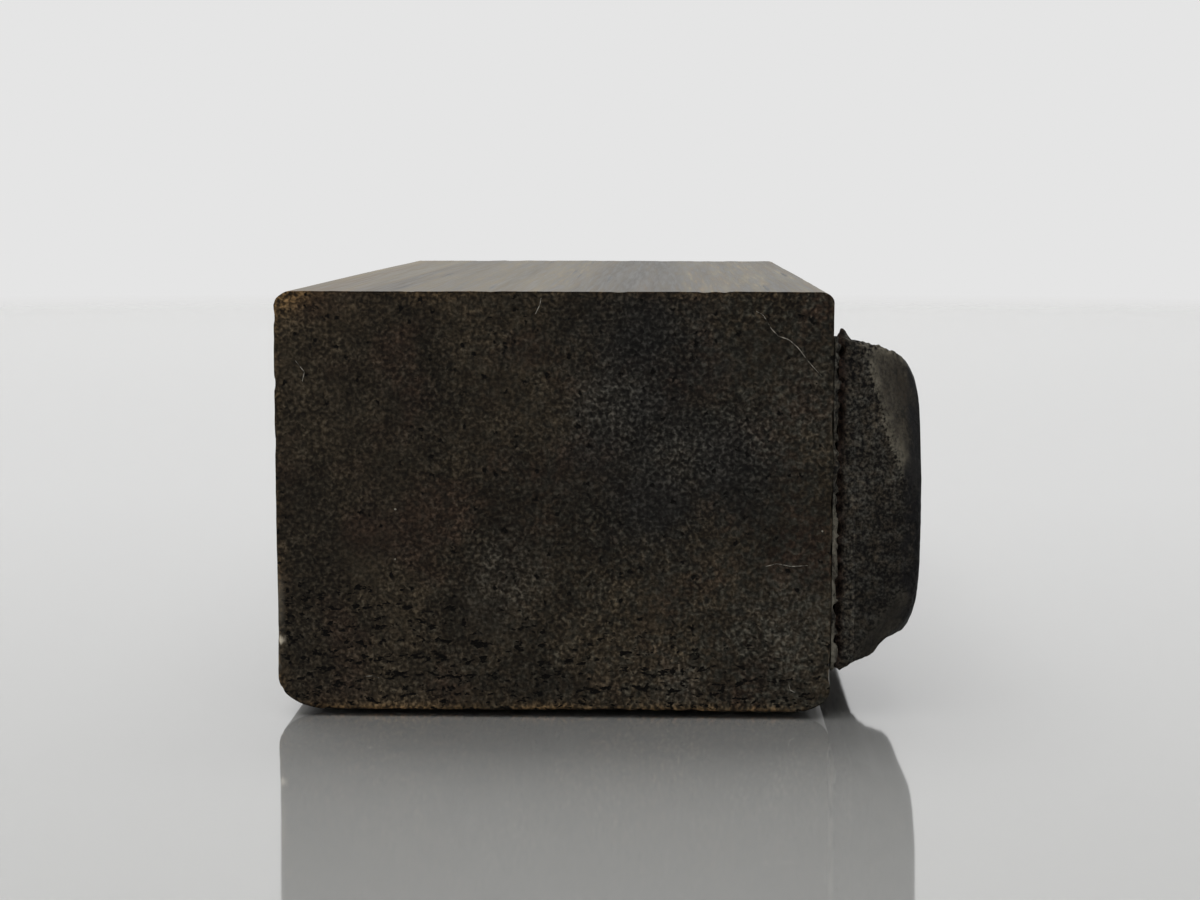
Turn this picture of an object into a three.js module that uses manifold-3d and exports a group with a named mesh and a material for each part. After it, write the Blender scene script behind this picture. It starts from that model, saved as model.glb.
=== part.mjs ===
// A block-mounted hand stamp, lying on its side as it is put down between uses. A hardwood mount carries a
// rubber die on one long face: a glue film, a sponge cushion, a second glue film, then the moulded plate with
// its raised printing relief. The glued stack was trimmed by hand with a knife, so its wall leans and wavers.
// Millimetres, +Z up. +X points the way the die prints, Y runs along the mount, and the origin is on the
// resting plane under the middle of the whole stamp.
import * as THREE from "three";
import { mergeVertices } from "three/addons/utils/BufferGeometryUtils.js";
import Module from "manifold-3d";

const wasm = await Module();
wasm.setup();

// Hardwood mount
const mountDepth = 24; // from the gripped back to the glued face
const mountWidth = 18.3; // across the stamp, upright as it lies
const mountLength = 53;
const endEase = 0.3; // rounding round both end-grain faces
const backUpperRadius = 0.7; // the four long edges, worn unevenly by handling
const dieUpperRadius = 0.6;
const dieLowerRadius = 1.2;
const backLowerRadius = 1.7;

// Layers on the glued face, in order from the wood
const mountGlueThickness = 0.2;
const cushionThickness = 0.7;
const dieGlueThickness = 0.1;
const plateThickness = 0.8;
const reliefHeight = 2.1;

// Outline of the trimmed stack where it meets the wood
const stackEndGap = 0.4; // bare wood left at each end of the glued face
const stackWidth = 14.05; // at the front
const stackDrop = 0.225; // how far its middle lies there below the middle of the mount
const stackBackWidth = 11; // the upper cut runs down towards the back
const baseFrontCorner = 0.5;
const baseBackCorner = 1.2;

// Lean of the knife: how far the wall has come in by the shoulder of the plate
const upperLean = 0.25;
const lowerLean = 0.6;
const endLean = 0.05;
const leanPower = 1.6; // over 1, the wall starts square to the wood and leans more as it rises
const flare = 0.3; // how far the cut runs out at the upper front corner
const steepShare = 0.6; // part of the lean that is missing there, where the knife stood up
const cornerReach = 8; // how far from that corner the flare and the steep cut die away
const trimWobble = 0.07; // how far the cut strays from a true line
const burrHeight = 0.5; // nick of rubber left standing on the upper edge, near the front
const burrPlace = 7;
const burrSpread = 0.6;

// Printing relief: a plain ruled form with round corners, a tall panel at the front and a lower line of boxes
// behind it. A rule runs along all of it, under a narrow strip.
const reliefLedge = 0.1; // flat of the plate left outside the panel
const panelLength = 10.8;
const panelStep = 2.4; // over this length the lower side of the relief steps up from the panel to the line
const lineShare = 0.52; // height of the line over the height of the panel
const upperSlope = 1.3; // how far the rounded walls of the relief come in by the printing face
const lowerSlope = 1.45;
const endSlope = 0.75;
const rootCorner = 0.8;
const faceUpperCorner = 3.6;
const faceLowerCorner = 2.8;
const ruleWidth = 0.8;
const ruleCorner = 0.1;
const pocketDepth = 0.85;
const pocketDraft = 0.2; // how far a pocket's wall comes in from its mouth to its floor
const stripHeight = 2.1;
const boxCount = 3; // in the line

// Fineness of the facets
const cornerSteps = 8;
const longSteps = 96;
const endSteps = 8;
const plateRings = 4;
const reliefRings = 6;
const woodCornerSteps = 6;
const woodEaseSteps = 2;
const cutMargin = 0.5; // how far a cutting solid runs past the face that it opens

// Worked-out heights above the wood, and places
const cushionBase = mountGlueThickness;
const dieGlueBase = cushionBase + cushionThickness;
const plateBase = dieGlueBase + dieGlueThickness;
const shoulder = plateBase + plateThickness;
const stackHeight = shoulder + reliefHeight;
const stackLength = mountLength - 2 * stackEndGap;
const glueFaceX = mountDepth / 2 - stackHeight / 2;

const finish = (color, roughness) => new THREE.MeshStandardMaterial({ color, roughness, metalness: 0 });
const inkStainedWood = finish(0x2a251e, 0.7);
const driedGlue = finish(0x5d5a50, 0.75);
const spongeRubber = finish(0x241d19, 0.95);
const inkedRubber = finish(0x26241f, 0.6);

// Outlines lie in Y and Z. Their edges are named front and back along Y, lower and upper along Z, and their
// corner radii are listed front lower, back lower, back upper, front upper.
const lengthOf = (edges) => edges.back - edges.front;
const widthOf = (edges) => edges.upper - edges.lower;

const inset = (edges, ends, lower = ends, upper = lower) => ({
  front: edges.front + ends,
  back: edges.back - ends,
  lower: edges.lower + lower,
  upper: edges.upper - upper,
});

const baseEdges = {
  front: -stackLength / 2,
  back: stackLength / 2,
  lower: -stackWidth / 2,
  upper: stackWidth / 2,
};
const shoulderEdges = inset(baseEdges, endLean, lowerLean, upperLean);
const rootEdges = inset(shoulderEdges, reliefLedge);
const faceEdges = inset(rootEdges, endSlope, lowerSlope, upperSlope);
const baseRadii = [baseFrontCorner, baseBackCorner, baseBackCorner, baseFrontCorner];
const rootRadii = baseRadii.map(() => rootCorner);
const faceRadii = [faceLowerCorner, faceLowerCorner, faceUpperCorner, faceUpperCorner];
const fieldRadii = faceRadii.map((r) => Math.max(r - ruleWidth, ruleCorner));
const ruleRadii = faceRadii.map(() => ruleCorner);

// Points round a rectangle with rounded corners, anticlockwise as seen from the printing side, each with its
// outward normal. Every loop has the same number of points, so a wall can join loops of different sizes.
function roundedLoop(edges, radii) {
  const { front, back, lower, upper } = edges;
  const largest = 0.49 * Math.min(lengthOf(edges), widthOf(edges));
  const [r0, r1, r2, r3] = radii.map((r) => Math.min(r, largest));
  const corners = [
    { y: front + r0, z: lower + r0, r: r0, quarter: 2, stepsOn: longSteps },
    { y: back - r1, z: lower + r1, r: r1, quarter: 3, stepsOn: endSteps },
    { y: back - r2, z: upper - r2, r: r2, quarter: 0, stepsOn: longSteps },
    { y: front + r3, z: upper - r3, r: r3, quarter: 1, stepsOn: endSteps },
  ];
  const arcs = corners.map(({ y, z, r, quarter }) =>
    Array.from({ length: cornerSteps + 1 }, (_, i) => {
      const angle = (quarter + i / cornerSteps) * (Math.PI / 2);
      const [ny, nz] = [Math.cos(angle), Math.sin(angle)];
      return { y: y + r * ny, z: z + r * nz, ny, nz };
    }),
  );
  return arcs.flatMap((arc, c) => {
    const last = arc[cornerSteps];
    const next = arcs[(c + 1) % arcs.length][0];
    const steps = corners[c].stepsOn;
    const straight = Array.from({ length: steps - 1 }, (_, i) => {
      const share = (i + 1) / steps;
      return { ...last, y: last.y + (next.y - last.y) * share, z: last.z + (next.z - last.z) * share };
    });
    return [...arc, ...straight];
  });
}

// Outline of the knife cut at a height above the wood: the outline at the wood, drawn in towards the
// shoulder's, with a few waves for the unsteady hand, the run-out at the upper front corner and the burr.
function trimLoop(height) {
  const base = roundedLoop(baseEdges, baseRadii);
  const top = roundedLoop(shoulderEdges, rootRadii);
  const rise = (height / shoulder) ** leanPower;
  return base.map((b, i) => {
    const t = top[i];
    const upward = Math.max(b.nz, 0);
    const fromFront = b.y - baseEdges.front;
    const fromCorner = Math.hypot(fromFront, b.z - baseEdges.upper);
    const nearCorner = Math.exp(-((fromCorner / cornerReach) ** 2));
    const nearBurr = Math.exp(-(((fromFront - burrPlace) / burrSpread) ** 2));
    const lean = rise * (1 - steepShare * nearCorner);
    const turn = (2 * Math.PI * i) / base.length;
    const slow = 0.5 * Math.sin(5 * turn + 0.6);
    const quick = 0.3 * Math.sin(11 * turn + 2.1) + 0.2 * Math.sin(19 * turn + 4);
    const extra = flare * nearCorner + burrHeight * nearBurr * (1 - rise);
    const out = trimWobble * (slow + quick) + upward * extra;
    return {
      y: b.y + (t.y - b.y) * lean + out * b.ny,
      z: b.z + (t.z - b.z) * lean + out * b.nz,
    };
  });
}

// Places in the plain outline to places on the wood, where it narrows towards the back, from its upper side.
function tapered({ y, z }) {
  const share = (y - baseEdges.front) / stackLength;
  const narrowing = 1 - (1 - stackBackWidth / stackWidth) * share;
  return { y, z: baseEdges.lower + (z - baseEdges.lower) * narrowing };
}

// Places in the plain outline of the relief to places in the panel and, behind the step, in the line.
function stepped({ y, z }) {
  const step = THREE.MathUtils.smoothstep(y - baseEdges.front - panelLength, 0, panelStep);
  return { y, z: faceEdges.upper + (z - faceEdges.upper) * (1 - (1 - lineShare) * step) };
}

const reliefLoop = (edges, radii) => roundedLoop(edges, radii).map(stepped);

// A closed solid through loops of points in the plain outline, each at its own x, from the lowest upwards.
function loft(plainLoops) {
  const loops = plainLoops.map(({ x, points }) => ({ x, points: points.map(tapered) }));
  const places = [];
  const put = ({ x, points }, ...indices) => {
    for (const i of indices) places.push(x, points[i].y, points[i].z);
  };
  const count = loops[0].points.length;
  for (let k = 0; k + 1 < loops.length; k++) {
    const [low, high] = [loops[k], loops[k + 1]];
    for (let i = 0; i < count; i++) {
      const j = (i + 1) % count;
      put(low, i, j);
      put(high, j);
      put(low, i);
      put(high, j, i);
    }
  }
  const flat = (loop) => loop.points.map((p) => new THREE.Vector2(p.y, p.z));
  const capOf = (loop) => THREE.ShapeUtils.triangulateShape(flat(loop), []);
  const [first, last] = [loops[0], loops[loops.length - 1]];
  capOf(first).forEach(([a, b, c]) => put(first, a, c, b));
  capOf(last).forEach(([a, b, c]) => put(last, a, b, c));
  return new THREE.BufferGeometry().setAttribute("position", new THREE.Float32BufferAttribute(places, 3));
}

function solidOf(geometry) {
  const merged = mergeVertices(geometry);
  const vertProperties = merged.attributes.position.array;
  const triVerts = new Uint32Array(merged.index.array);
  return new wasm.Manifold(new wasm.Mesh({ numProp: 3, vertProperties, triVerts }));
}

function geometryOf(solid) {
  const { vertProperties, triVerts } = solid.getMesh();
  const geometry = new THREE.BufferGeometry();
  geometry.setAttribute("position", new THREE.BufferAttribute(vertProperties, 3));
  geometry.setIndex(new THREE.BufferAttribute(triVerts, 1));
  return geometry;
}

// The mount: its cross-section with four worn corners, drawn along its length with eased end-grain edges.
function mountGeometry() {
  const [left, right, low, high] = [-mountDepth / 2, mountDepth / 2, -mountWidth / 2, mountWidth / 2];
  const section = new THREE.Shape();
  section.absarc(left + backLowerRadius, low + backLowerRadius, backLowerRadius, Math.PI, 1.5 * Math.PI);
  section.absarc(right - dieLowerRadius, low + dieLowerRadius, dieLowerRadius, 1.5 * Math.PI, 2 * Math.PI);
  section.absarc(right - dieUpperRadius, high - dieUpperRadius, dieUpperRadius, 0, 0.5 * Math.PI);
  section.absarc(left + backUpperRadius, high - backUpperRadius, backUpperRadius, 0.5 * Math.PI, Math.PI);
  const straight = mountLength - 2 * endEase;
  return new THREE.ExtrudeGeometry(section, {
    depth: straight,
    curveSegments: woodCornerSteps,
    bevelThickness: endEase,
    bevelSize: endEase,
    bevelOffset: -endEase,
    bevelSegments: woodEaseSteps,
  })
    .translate(0, 0, -straight / 2)
    .rotateX(Math.PI / 2);
}

// One layer of the trimmed stack between two heights above the wood, standing on x = 0.
function layerGeometry(from, to) {
  return loft([from, to].map((height) => ({ x: height - from, points: trimLoop(height) })));
}

// A prism along X from one x to another, with its edges given at the first, whose sides come in by a slope.
function draftedPrism(edges, radii, from, to, slope) {
  const head = inset(edges, slope * (to - from));
  return solidOf(
    loft([
      { x: from, points: reliefLoop(edges, radii) },
      { x: to, points: reliefLoop(head, radii) },
    ]),
  );
}

// The pockets between the rules of the form: the whole field inside the frame, less a bar for each rule. The
// bar behind the panel fills the step.
function pocketSolid(faceX) {
  const floorX = faceX - pocketDepth;
  const [below, above] = [floorX - cutMargin, faceX + cutMargin];
  const slope = pocketDraft / pocketDepth;
  const field = inset(faceEdges, ruleWidth);
  const stripFoot = field.upper - stripHeight;
  const rules = [{ ...faceEdges, lower: stripFoot - ruleWidth, upper: stripFoot }];
  const panelBack = baseEdges.front + panelLength - ruleWidth;
  const lineFront = panelBack + panelStep + 2 * ruleWidth;
  rules.push({ ...faceEdges, front: panelBack, back: lineFront });
  const pitch = (field.back - lineFront + ruleWidth) / boxCount;
  for (let i = 1; i < boxCount; i++) {
    const front = lineFront - ruleWidth + pitch * i;
    rules.push({ ...faceEdges, front, back: front + ruleWidth });
  }
  const spread = slope * (below - faceX);
  const bars = rules.map((rule) => draftedPrism(inset(rule, spread), ruleRadii, below, above, slope));
  const pockets = draftedPrism(inset(field, pocketDraft), fieldRadii, floorX, above, -slope);
  return bars.reduce((left, bar) => left.subtract(bar), pockets);
}

// The moulded die, standing on x = 0: a plate with the trimmed wall, then a relief with rounded shoulders,
// where pockets leave the rules of the form standing.
function dieGeometry() {
  const plate = Array.from({ length: plateRings + 1 }, (_, k) => {
    const x = (plateThickness * k) / plateRings;
    return { x, points: trimLoop(plateBase + x) };
  });
  const relief = Array.from({ length: reliefRings + 1 }, (_, k) => {
    const angle = (k / reliefRings) * (Math.PI / 2);
    const come = 1 - Math.cos(angle);
    const edges = inset(rootEdges, endSlope * come, lowerSlope * come, upperSlope * come);
    const radii = rootRadii.map((r, i) => r + (faceRadii[i] - r) * come);
    return { x: plateThickness + reliefHeight * Math.sin(angle), points: reliefLoop(edges, radii) };
  });
  const body = solidOf(loft([...plate, ...relief]));
  return geometryOf(body.subtract(pocketSolid(plateThickness + reliefHeight)));
}

function piece(name, geometry, material, x) {
  const mesh = new THREE.Mesh(geometry, material);
  mesh.name = name;
  mesh.position.x = x;
  return mesh;
}

// Everything that is glued on, with x = 0 on the wood.
const stack = new THREE.Group();
stack.position.set(glueFaceX, 0, mountWidth / 2 - stackDrop);
stack.add(
  piece("mount_glue", layerGeometry(0, cushionBase), driedGlue, 0),
  piece("cushion_sheet", layerGeometry(cushionBase, dieGlueBase), spongeRubber, cushionBase),
  piece("die_glue", layerGeometry(dieGlueBase, plateBase), driedGlue, dieGlueBase),
  piece("rubber_die", dieGeometry(), inkedRubber, plateBase),
);

const mount = piece("wood_mount", mountGeometry(), inkStainedWood, glueFaceX - mountDepth / 2);
mount.position.z = mountWidth / 2;

const stamp = new THREE.Group();
stamp.name = "hand_stamp";
stamp.add(mount, stack);

export default stamp;
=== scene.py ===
from functools import partial
from math import cos, pi, radians, sin

import bpy
import numpy as np
from mathutils import Matrix, Vector


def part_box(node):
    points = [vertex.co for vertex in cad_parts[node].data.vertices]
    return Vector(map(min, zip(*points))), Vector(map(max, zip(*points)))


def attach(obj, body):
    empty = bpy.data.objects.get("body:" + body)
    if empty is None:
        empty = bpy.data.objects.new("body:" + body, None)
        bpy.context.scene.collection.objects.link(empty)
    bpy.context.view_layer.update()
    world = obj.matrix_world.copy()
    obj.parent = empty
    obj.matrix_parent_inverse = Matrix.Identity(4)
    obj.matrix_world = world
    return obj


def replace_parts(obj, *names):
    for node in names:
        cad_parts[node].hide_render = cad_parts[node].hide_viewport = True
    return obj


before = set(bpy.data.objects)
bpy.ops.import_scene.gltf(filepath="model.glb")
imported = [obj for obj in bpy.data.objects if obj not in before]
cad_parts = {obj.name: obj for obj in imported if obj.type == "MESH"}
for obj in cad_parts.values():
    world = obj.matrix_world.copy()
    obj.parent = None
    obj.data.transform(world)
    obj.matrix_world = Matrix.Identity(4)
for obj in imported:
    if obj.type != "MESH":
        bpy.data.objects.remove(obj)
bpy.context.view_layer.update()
print("frame loaded:", ", ".join(sorted(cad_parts)))

mm = 0.001  # sizes below are in millimetres, as on the part's drawing


# Camera: a long lens close to the table, looking along the block at its near end. Yaw and pitch give its
# direction, and it rolls about that.
camera = {
    "place": (2.935, -124.369, 21.974),
    "yaw": -1.677,
    "pitch": -6.106,
    "roll": -0.084,
    "lens": 69,
    "sensor": 36,
    "clipStart": 1,
}


def makeCamera():
    yaw, pitch, roll = (radians(camera[key]) for key in ("yaw", "pitch", "roll"))
    forward = Vector((sin(yaw) * cos(pitch), cos(yaw) * cos(pitch), sin(pitch)))
    level = Vector((cos(yaw), -sin(yaw), 0))
    right = cos(roll) * level + sin(roll) * forward.cross(level)
    up = right.cross(forward)
    data = bpy.data.cameras.new("photoCamera")
    data.lens = camera["lens"]
    data.sensor_width = camera["sensor"]
    data.clip_start = camera["clipStart"] * mm
    made = bpy.data.objects.new("photoCamera", data)
    turned = Matrix((right, up, -forward)).transposed().to_4x4()
    made.matrix_world = Matrix.Translation(Vector(camera["place"]) * mm) @ turned
    bpy.context.scene.collection.objects.link(made)
    bpy.context.scene.camera = made


makeCamera()
print("camera set")


# A random number belongs to each corner of a lattice, picked from a list by mixing multiples of its place
lattice = {"numbers": 4096, "multiples": (73856093, 19349663, 83492791)}


# Smooth random field from -1 to 1: the numbers on the lattice, blended by smoothstep
def latticeNoise(points, cell, seed):
    numbers = np.random.default_rng(seed).uniform(-1, 1, lattice["numbers"])
    place = points / np.asarray(cell, float)
    corner = np.floor(place).astype(np.int64)
    share = place - corner
    share = share * share * (3 - 2 * share)
    total = np.zeros(points.shape[:-1])
    for step in np.ndindex(2, 2, 2):
        key = np.bitwise_xor.reduce((corner + step) * lattice["multiples"], axis=-1) % lattice["numbers"]
        total += numbers[key] * np.prod(np.where(step, share, 1 - share), axis=-1)
    return total


# The same field with finer ones on top, each half the size and half the strength of the last
def roughNoise(points, cell, seed, octaves=3):
    cells = [np.asarray(cell, float) / 2**k for k in range(octaves)]
    return sum(latticeNoise(points, c, seed + k) / 2**k for k, c in enumerate(cells))


# Numbers from -1 to 1, closer together near the ends: a straight line mixed with a sine
def crowdedLine(count, crowding):
    u = np.linspace(-1, 1, count)
    return (1 - crowding) * u + crowding * np.sin(np.pi * u / 2)


# A rectangle's points with its corner squares bent into quarter ellipses. u and v run from -1 to 1, edges
# are low and high along both axes, and radii are listed low-low, high-low, high-high, low-high.
def roundedRectangle(u, v, edges, radii):
    low1, high1, low2, high2 = edges
    half1, half2 = (high1 - low1) / 2, (high2 - low2) / 2
    from1, from2 = half1 * u, half2 * v
    pull1, pull2 = 0, 0
    for (side1, side2), (r1, r2) in zip([(-1, -1), (1, -1), (1, 1), (-1, 1)], radii):
        a = np.clip((side1 * from1 - half1 + r1) / r1, 0, 1)
        b = np.clip((side2 * from2 - half2 + r2) / r2, 0, 1)
        pull1 = pull1 + side1 * r1 * a * (1 - np.sqrt(1 - b * b / 2))
        pull2 = pull2 + side2 * r2 * b * (1 - np.sqrt(1 - a * a / 2))
    return (low1 + high1) / 2 + from1 - pull1, (low2 + high2) / 2 + from2 - pull2


# Row and column numbers round the rim of a grid, anticlockwise from its low-low corner
def rimOrder(columns, rows):
    across, up = np.arange(columns), np.arange(rows)
    i = np.concatenate([across, 0 * up + columns, columns - across, 0 * up])
    j = np.concatenate([0 * across, up, 0 * across + rows, rows - up])
    return i, j


# Quads of a wall through rings of equal length
def wallQuads(ringCount, length):
    k, m = np.meshgrid(np.arange(ringCount - 1), np.arange(length), indexing="ij")
    lower, upper, n = k * length, (k + 1) * length, (m + 1) % length
    return np.stack([lower + m, lower + n, upper + n, upper + m], axis=-1).reshape(-1, 4)


# Quads of a cap whose rim is a ring of the wall, and whose inner points are numbered from insideStart
def capQuads(columns, rows, ringStart, insideStart):
    number = np.empty((columns + 1, rows + 1), int)
    i, j = rimOrder(columns, rows)
    number[i, j] = ringStart + np.arange(len(i))
    inside = np.arange((columns - 1) * (rows - 1)).reshape(columns - 1, rows - 1)
    number[1:-1, 1:-1] = insideStart + inside
    corners = [number[:-1, :-1], number[1:, :-1], number[1:, 1:], number[:-1, 1:]]
    return np.stack(corners, axis=-1).reshape(-1, 4)


# Unit normals of the points: the cross products of the diagonals of the quads round each, added up
def outwardNormals(points, quads):
    corners = points[quads]
    across = np.cross(corners[:, 2] - corners[:, 0], corners[:, 3] - corners[:, 1])
    normals = np.zeros_like(points)
    for k in range(4):
        np.add.at(normals, quads[:, k], across)
    return normals / np.linalg.norm(normals, axis=1, keepdims=True)


# A mesh object in metres from points in millimetres. Attributes give one number a point, flat faces come
# last, and second tells which faces have the second material.
def makePiece(name, points, faces, materials, attributes, flatFaces=(), second=None):
    mesh = bpy.data.meshes.new(name)
    mesh.from_pydata((points * mm).tolist(), [], faces.tolist() + [list(f) for f in flatFaces])
    smooth = np.ones(len(mesh.polygons), bool)
    smooth[len(faces):] = False
    mesh.polygons.foreach_set("use_smooth", smooth)
    for material in materials:
        mesh.materials.append(material)
    if second is not None:
        mesh.polygons.foreach_set("material_index", np.asarray(second, np.int32))
    for key, values in attributes.items():
        made = mesh.attributes.new(key, "FLOAT", "POINT")
        made.data.foreach_set("value", np.ascontiguousarray(values, np.float32))
    mesh.update()
    made = bpy.data.objects.new(name, mesh)
    bpy.context.scene.collection.objects.link(made)
    return made


# A finished piece rides on the stamp's only body and stands for its drawn node, which it hides
def finishPiece(made, node):
    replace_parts(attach(made, "root"), node)
    return made


# Linear colour of an sRGB hex code, by the sRGB curve
def linear(code):
    channels = np.array([int(code[k:k + 2], 16) for k in (1, 3, 5)]) / 255
    return (*np.where(channels <= 0.04045, channels / 12.92, ((channels + 0.055) / 1.055) ** 2.4), 1)


# Adds a node with its settings and links, and gives one of its outputs. Inputs are a row in the node's own
# order, or a dictionary.
def addNode(tree, kind, inputs=(), out=0, **settings):
    made = tree.nodes.new("ShaderNode" + kind)
    for key, value in settings.items():
        setattr(made, key, value)
    for key, value in inputs.items() if isinstance(inputs, dict) else enumerate(inputs):
        if isinstance(value, bpy.types.NodeSocket):
            tree.links.new(value, made.inputs[key])
        else:
            made.inputs[key].default_value = value
    return made.outputs[out] if made.outputs else None


# An empty material, the function that adds nodes to it, and places on the piece in millimetres
def startMaterial(name):
    made = bpy.data.materials.new(name)
    made.use_nodes = True
    made.node_tree.nodes.clear()
    add = partial(addNode, made.node_tree)
    metres = add("TexCoord", out="Object")
    return made, add, add("Mapping", {"Vector": metres, "Scale": (1 / mm, 1 / mm, 1 / mm)})


soft = {"interpolation_type": "SMOOTHSTEP"}
fourWay = {"noise_dimensions": "4D"}  # the fourth coordinate sets one pattern apart from the next
blend = {"out": 2, "data_type": "RGBA"}


# Old hardwood, soaked with ink and darkened by hands. Sawn across the grain it shows a mottle of cut
# fibres, open pores, rows of torn pits along the growth rings, short pale fibres and dust, with brown wood
# on worn edges. Along the grain the same marks run out into long streaks on paler, handled wood.
# Painted shade darkens the faces turned down, and painted light makes the lower part of the wood paler.
hardwood = {
    "fibreStretch": 40,  # how many times longer a mark is along the block than across it
    "fields": {  # size in millimetres, detail, roughness and swirl of each noise
        "tone": (5, 3, 0.5, 0),
        "warmth": (3.2, 3, 0.5, 0),
        "lumps": (0.17, 1, 0.5, 0.35),
        "clumps": (0.8, 2, 0.5, 0),
        "tint": (0.3, 2, 0.5, 0),
        "spotEdge": (2.2, 4, 0.65, 0),
        "bend": (9, 1, 0.5, 0),
    },
    "apart": 7.3,  # steps between these noises along the fourth coordinate
    "ranges": {  # of a noise, a height or a distance, then what it becomes there, 0 to 1 where not given
        "ragged": (0.3, 0.7, -1, 1),
        "tone": (0.35, 0.65),
        "warm": (0.48, 0.68, 0, 0.75),
        "grey": (0.42, 0.62, 0, 0.6),
        "greying": (-10, 8, 0.35, 1.4),  # by X, towards the die
        "uneven": (0.35, 0.65, 0.7, 1.3),  # of the contrast
        "clumps": (0.3, 0.7, 0.74, 1.26),
        "paintedLowLight": (8, 2, 1, 1.3),  # painted light: paler below these heights
        "bend": (0, 1, -1.2, 1.2),
        "torn": (5.4, 2.4, 0.76, 0.6),  # by height: peaks over the second pair of numbers are torn
        "pits": (-0.01, 0.04),
        "spots": (0.9, 1.9),
        "dusty": (-1, 0.9),
        "wearing": (-0.8, 0.4, 0.35, 1),
    },
    "dots": {"pore": (0.45, 0.2, 0.22), "speck": (0.8, 0.045, 0.05)},  # cell, radius in cells, share shown
    "dotEdge": (0.8, 1.3, 0.7),  # in radii: how ragged it is, and where it starts and is full
    "ringSpacing": 0.8,
    "ringTilt": 3,
    "ringPull": 0.05,  # how much likelier a pit is on a growth ring
    "pitSize": (0.38, 0.19),  # along and across a growth ring
    "pitTilt": 0.18,  # the torn heights fall by this for each millimetre towards the die
    "pitDepth": -1.3,  # over the height of the lumps
    "relief": 0.1,
    "spotPull": 1.6,  # how ragged the spots are
    "spots": {  # strength, then X, Z and reach of each spot
        "ink": (0.85, (2.2, 16, 4.6), (1.8, 12.6, 4.6), (2.4, 9.4, 4.2), (5, 11, 3.6)),
        "dust": (0.16, (-3.9, 6, 2.6), (6.4, 12.3, 2.6), (9.4, 13.4, 3), (3.6, 11.4, 2.2), (0.4, 13.4, 2.6),
                 (8, 3.6, 3.4), (3.4, 1.3, 1.6)),
    },
    "ink": "#1a1a19",
    "dust": "#56534c",
    "pit": "#080705",
    "worn": "#5b4830",
    "bare": "#cfc5b2",
    "speck": "#837e72",
    "shineChange": 0.06,
}
# The two cuts of it. Contrast of the fibres is given on clean wood and in ink.
sawnEnd = {
    "dark": "#1f1b15", "light": "#2d271e", "warm": "#2b211a", "grey": "#262520", "contrast": (2.6, 3.1),
    "specks": 1, "roughness": 0.8, "specular": 0.1, "bump": 0.7,
}
planedSide = {
    "dark": "#3e3628", "light": "#4c4433", "warm": "#4a3d2a", "grey": "#474234", "contrast": (1.6, 1.8),
    "specks": 0, "roughness": 0.44, "specular": 0.6, "bump": 0.15,
}


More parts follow.
